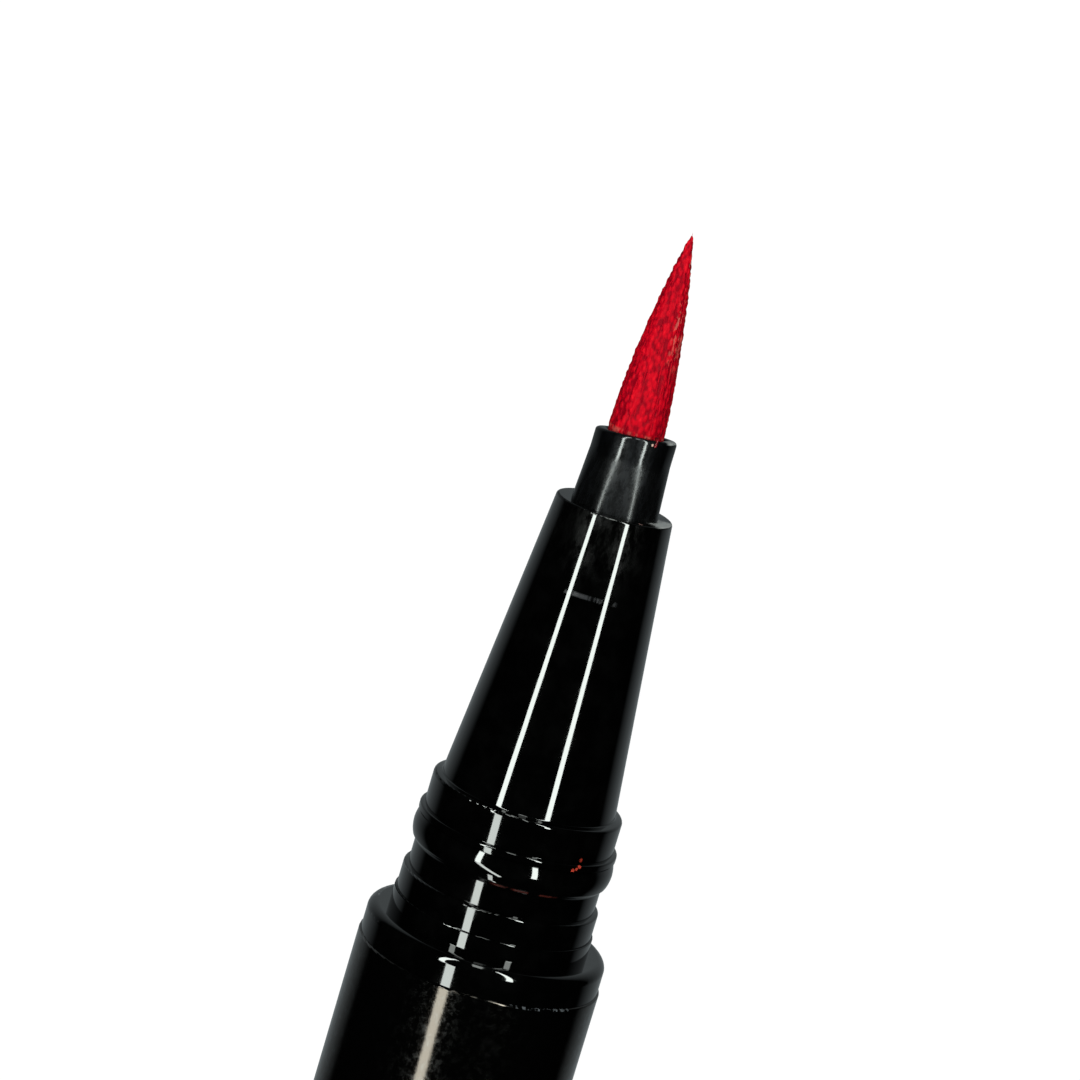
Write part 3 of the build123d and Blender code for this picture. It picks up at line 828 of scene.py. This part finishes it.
# ---------------------------------------------------------------- CAD pieces
class MARKER_OT_finishes(bpy.types.Operator):
    """Gives every CAD piece its finish"""

    bl_idname = "marker.finishes"
    bl_label = "Finishes"

    def execute(self, context):
        finishes = {
            section_finish(): ["front_section"],
            cap_finish(): ["cap_shell", "cap_crown", "pocket_clip"],
            barrel_finish(): ["barrel", "tail_plug"],
            stock_finish("seal_rubber", (0.012, 0.012, 0.013), 0.6): ["section_seal", "cap_seal_ring"],
            stock_finish("soft_liner", (0.02, 0.02, 0.022), 0.45): ["inner_cap"],
            stock_finish("feed_moulding", (0.72, 0.71, 0.66), 0.42): ["feed_collector", "feed_retainer"],
            stock_finish("soaked_fibre", (0.42, 0.006, 0.014), 0.6, (260, 5200, 5200), 0.04 * MM):
                ["feed_wick", "reservoir_core", "brush_butt"],
            stock_finish("reservoir_film", (0.78, 0.62, 0.62), 0.22, (180, 900, 900), 0.02 * MM):
                ["reservoir_film", "breather_tube"],
            stock_finish(
                "drawn_brass", (0.72, 0.46, 0.16), 0.3, (90, 4200, 4200), 0.006 * MM, Metallic=1.0,
            ): ["brush_ferrule"],
            foam_finish(): ["reservoir_cushion"],
        }
        for material, nodes in finishes.items():
            for node in nodes:
                dress(node, material)
        return {"FINISHED"}


# ---------------------------------------------------------------- studio
FLOOR_SIZE = 6.0
GLOW_LENGTH = 0.6
GLOW_START = 7 * MM         # the lit floor is brightest up to here from the pen's axis
STRIP_FRONT = 0.9           # ends of the strip lights along the pen
STRIP_BACK = -0.065
STRIP_END = -0.395
STRIP_HEIGHT = 0.42         # from the pen's axis to a strip light
STRIP_WIDTH = 0.047
LAMP_COLOUR = (0.93, 1.0, 0.95)
AIM = Vector((21.33 * MM, 3.055 * MM, 0))
SENSOR_WIDTH = 36


class MARKER_OT_studio(bpy.types.Operator):
    """Sets up the floor, the lights and the camera"""

    bl_idname = "marker.studio"
    bl_label = "Studio"

    def execute(self, context):
        studio = context.scene.marker_studio
        bright = studio.strip_radiance
        self.floor()
        self.glow(studio.glow_width)
        self.strip("left_strip", 33, STRIP_BACK, STRIP_FRONT, bright)
        self.strip("left_strip_end", 33, STRIP_END, STRIP_BACK, bright * 0.62, math.radians(42.7))
        self.strip("left_strip_far", 18, -2.4, -0.32, bright * 0.5)
        self.strip("right_strip", -31, STRIP_BACK, STRIP_FRONT, bright)
        self.cross_bar(bright * 0.22)
        self.sky(context)
        self.camera(context, studio)
        context.scene.view_settings.view_transform = "Standard"
        return {"FINISHED"}

    def floor(self):
        """Pale floor that lights itself, and stays out of the pen's gloss."""
        deselect()
        bpy.ops.mesh.primitive_plane_add(size=FLOOR_SIZE, location=(0, 0, -BARREL_RADIUS - 0.02 * MM))
        floor = bpy.context.object
        floor.name = "floor"
        floor.rotation_euler = (0, -FLOOR_TILT, 0)
        floor.visible_glossy = False
        floor.visible_diffuse = False
        sheet = Finish("pale_floor")
        sheet.set(
            Base_Color=grey(0.05), Roughness=0.9, Specular_IOR_Level=0.0,
            Emission_Color=grey(1.0), Emission_Strength=0.975,
        )
        floor.data.materials.append(sheet.material)

    def glow(self, width):
        """Lit floor close beside the pen, which only its gloss sees, brightest next to it."""
        deselect()
        bpy.ops.mesh.primitive_plane_add(size=1.0, location=(0, 0, -BARREL_RADIUS - 0.01 * MM))
        glow = bpy.context.object
        glow.name = "floor_glow"
        glow.scale = (GLOW_LENGTH, 2 * width, 1)
        glow.rotation_euler = (0, -FLOOR_TILT, 0)
        bpy.ops.object.transform_apply(location=True, rotation=True, scale=True)
        for kind in ("camera", "diffuse", "transmission", "shadow", "volume_scatter"):
            setattr(glow, "visible_" + kind, False)
        light = Finish("floor_glow")
        away = light.math("ABSOLUTE", light.y)
        light.set(
            Base_Color=grey(0.0), Roughness=1.0, Specular_IOR_Level=0.0,
            Emission_Color=(0.86, 0.97, 1.0, 1),
            Emission_Strength=light.times(
                light.step(away, GLOW_START, width, 0.27, 0.0),
                light.step(light.x, CONE_TOP_X - 3 * MM, MOUTH_X, 1.0, 0.45),
            ),
        )
        glow.data.materials.append(light.material)

    def area(self, name, place, turn, long, width, radiance):
        """Rectangular light that only shows in the gloss."""
        light = bpy.data.lights.new(name, "AREA")
        light.shape = "RECTANGLE"
        light.size = long
        light.size_y = width
        light.energy = radiance * math.pi * long * width
        light.color = LAMP_COLOUR
        lamp = bpy.data.objects.new(name, light)
        lamp.location = place
        lamp.rotation_euler = turn
        lamp.visible_camera = False
        bpy.context.scene.collection.objects.link(lamp)

    def strip(self, name, turn, start, end, radiance, skew=0.0):
        """Long narrow light beside the camera: parallel to the pen, or swung about its front end."""
        angle = math.radians(turn)
        facing = Matrix.Rotation(-angle, 3, "X") @ Matrix.Rotation(skew, 3, "Z")
        front = Vector((end, STRIP_HEIGHT * math.sin(angle), STRIP_HEIGHT * math.cos(angle)))
        place = front + facing @ Vector(((start - end) / 2, 0, 0))
        self.area(name, place, facing.to_euler(), end - start, STRIP_WIDTH, radiance)

    def cross_bar(self, radiance):
        """Dim light across the far ends of the strips, beyond the brush."""
        place = Vector((0.9, 0, 0.38))
        toward = place.normalized().to_track_quat("Z", "Y").to_euler()
        self.area("cross_bar", place, toward, 0.12, 0.5, radiance)

    def sky(self, context):
        """White behind the object for the camera, dark for reflections."""
        world = bpy.data.worlds.new("studio")
        context.scene.world = world
        world.use_nodes = True
        tree = world.node_tree
        ground = tree.nodes["Background"]
        path = tree.nodes.new("ShaderNodeLightPath")
        tree.links.new(path.outputs["Is Camera Ray"], ground.inputs["Strength"])
        ground.inputs["Color"].default_value = grey(1.0)

    def camera(self, context, studio):
        """Camera over the brush's end, tilted towards the brush and rolled about its line of sight."""
        sight = Vector((math.sin(studio.tilt), 0, math.cos(studio.tilt)))
        upright = Vector((math.cos(studio.tilt), 0, -math.sin(studio.tilt)))
        up = upright * math.cos(studio.roll) + Vector((0, 1, 0)) * math.sin(studio.roll)
        right = up.cross(sight)
        data = bpy.data.cameras.new("camera")
        data.lens = studio.lens
        data.sensor_width = SENSOR_WIDTH
        data.clip_start = 0.01
        camera = bpy.data.objects.new("camera", data)
        turn = Matrix((right, up, sight)).transposed().to_4x4()
        camera.matrix_world = Matrix.Translation(AIM + sight * studio.distance) @ turn
        context.scene.collection.objects.link(camera)
        context.scene.camera = camera


class MARKER_PT_panel(bpy.types.Panel):
    """Sidebar panel that lists the marker's builders"""

    bl_label = "Calligraphy marker"
    bl_idname = "MARKER_PT_panel"
    bl_space_type = "VIEW_3D"
    bl_region_type = "UI"
    bl_category = "Marker"

    def draw(self, context):
        for builder in BUILDERS:
            self.layout.operator(builder.bl_idname)


BUILDERS = (
    MARKER_OT_finishes, MARKER_OT_nozzle, MARKER_OT_brush, MARKER_OT_ink_drop, MARKER_OT_studio,
)
SETTINGS = {
    "marker_brush": BrushSettings,
    "marker_nozzle": NozzleSettings,
    "marker_studio": StudioSettings,
}
CLASSES = (*SETTINGS.values(), *BUILDERS, MARKER_PT_panel)


def register():
    """Adds the classes and the scene's settings."""
    for item in CLASSES:
        bpy.utils.register_class(item)
    for name, group in SETTINGS.items():
        setattr(bpy.types.Scene, name, bpy.props.PointerProperty(type=group))


def unregister():
    """Takes the settings and the classes away again."""
    for name in SETTINGS:
        delattr(bpy.types.Scene, name)
    for item in reversed(CLASSES):
        bpy.utils.unregister_class(item)


def main():
    """Builds everything."""
    register()
    bpy.ops.marker.finishes()
    bpy.ops.marker.nozzle()
    bpy.ops.marker.brush()
    bpy.ops.marker.ink_drop()
    bpy.ops.marker.studio()


if __name__ == "__main__":
    main()
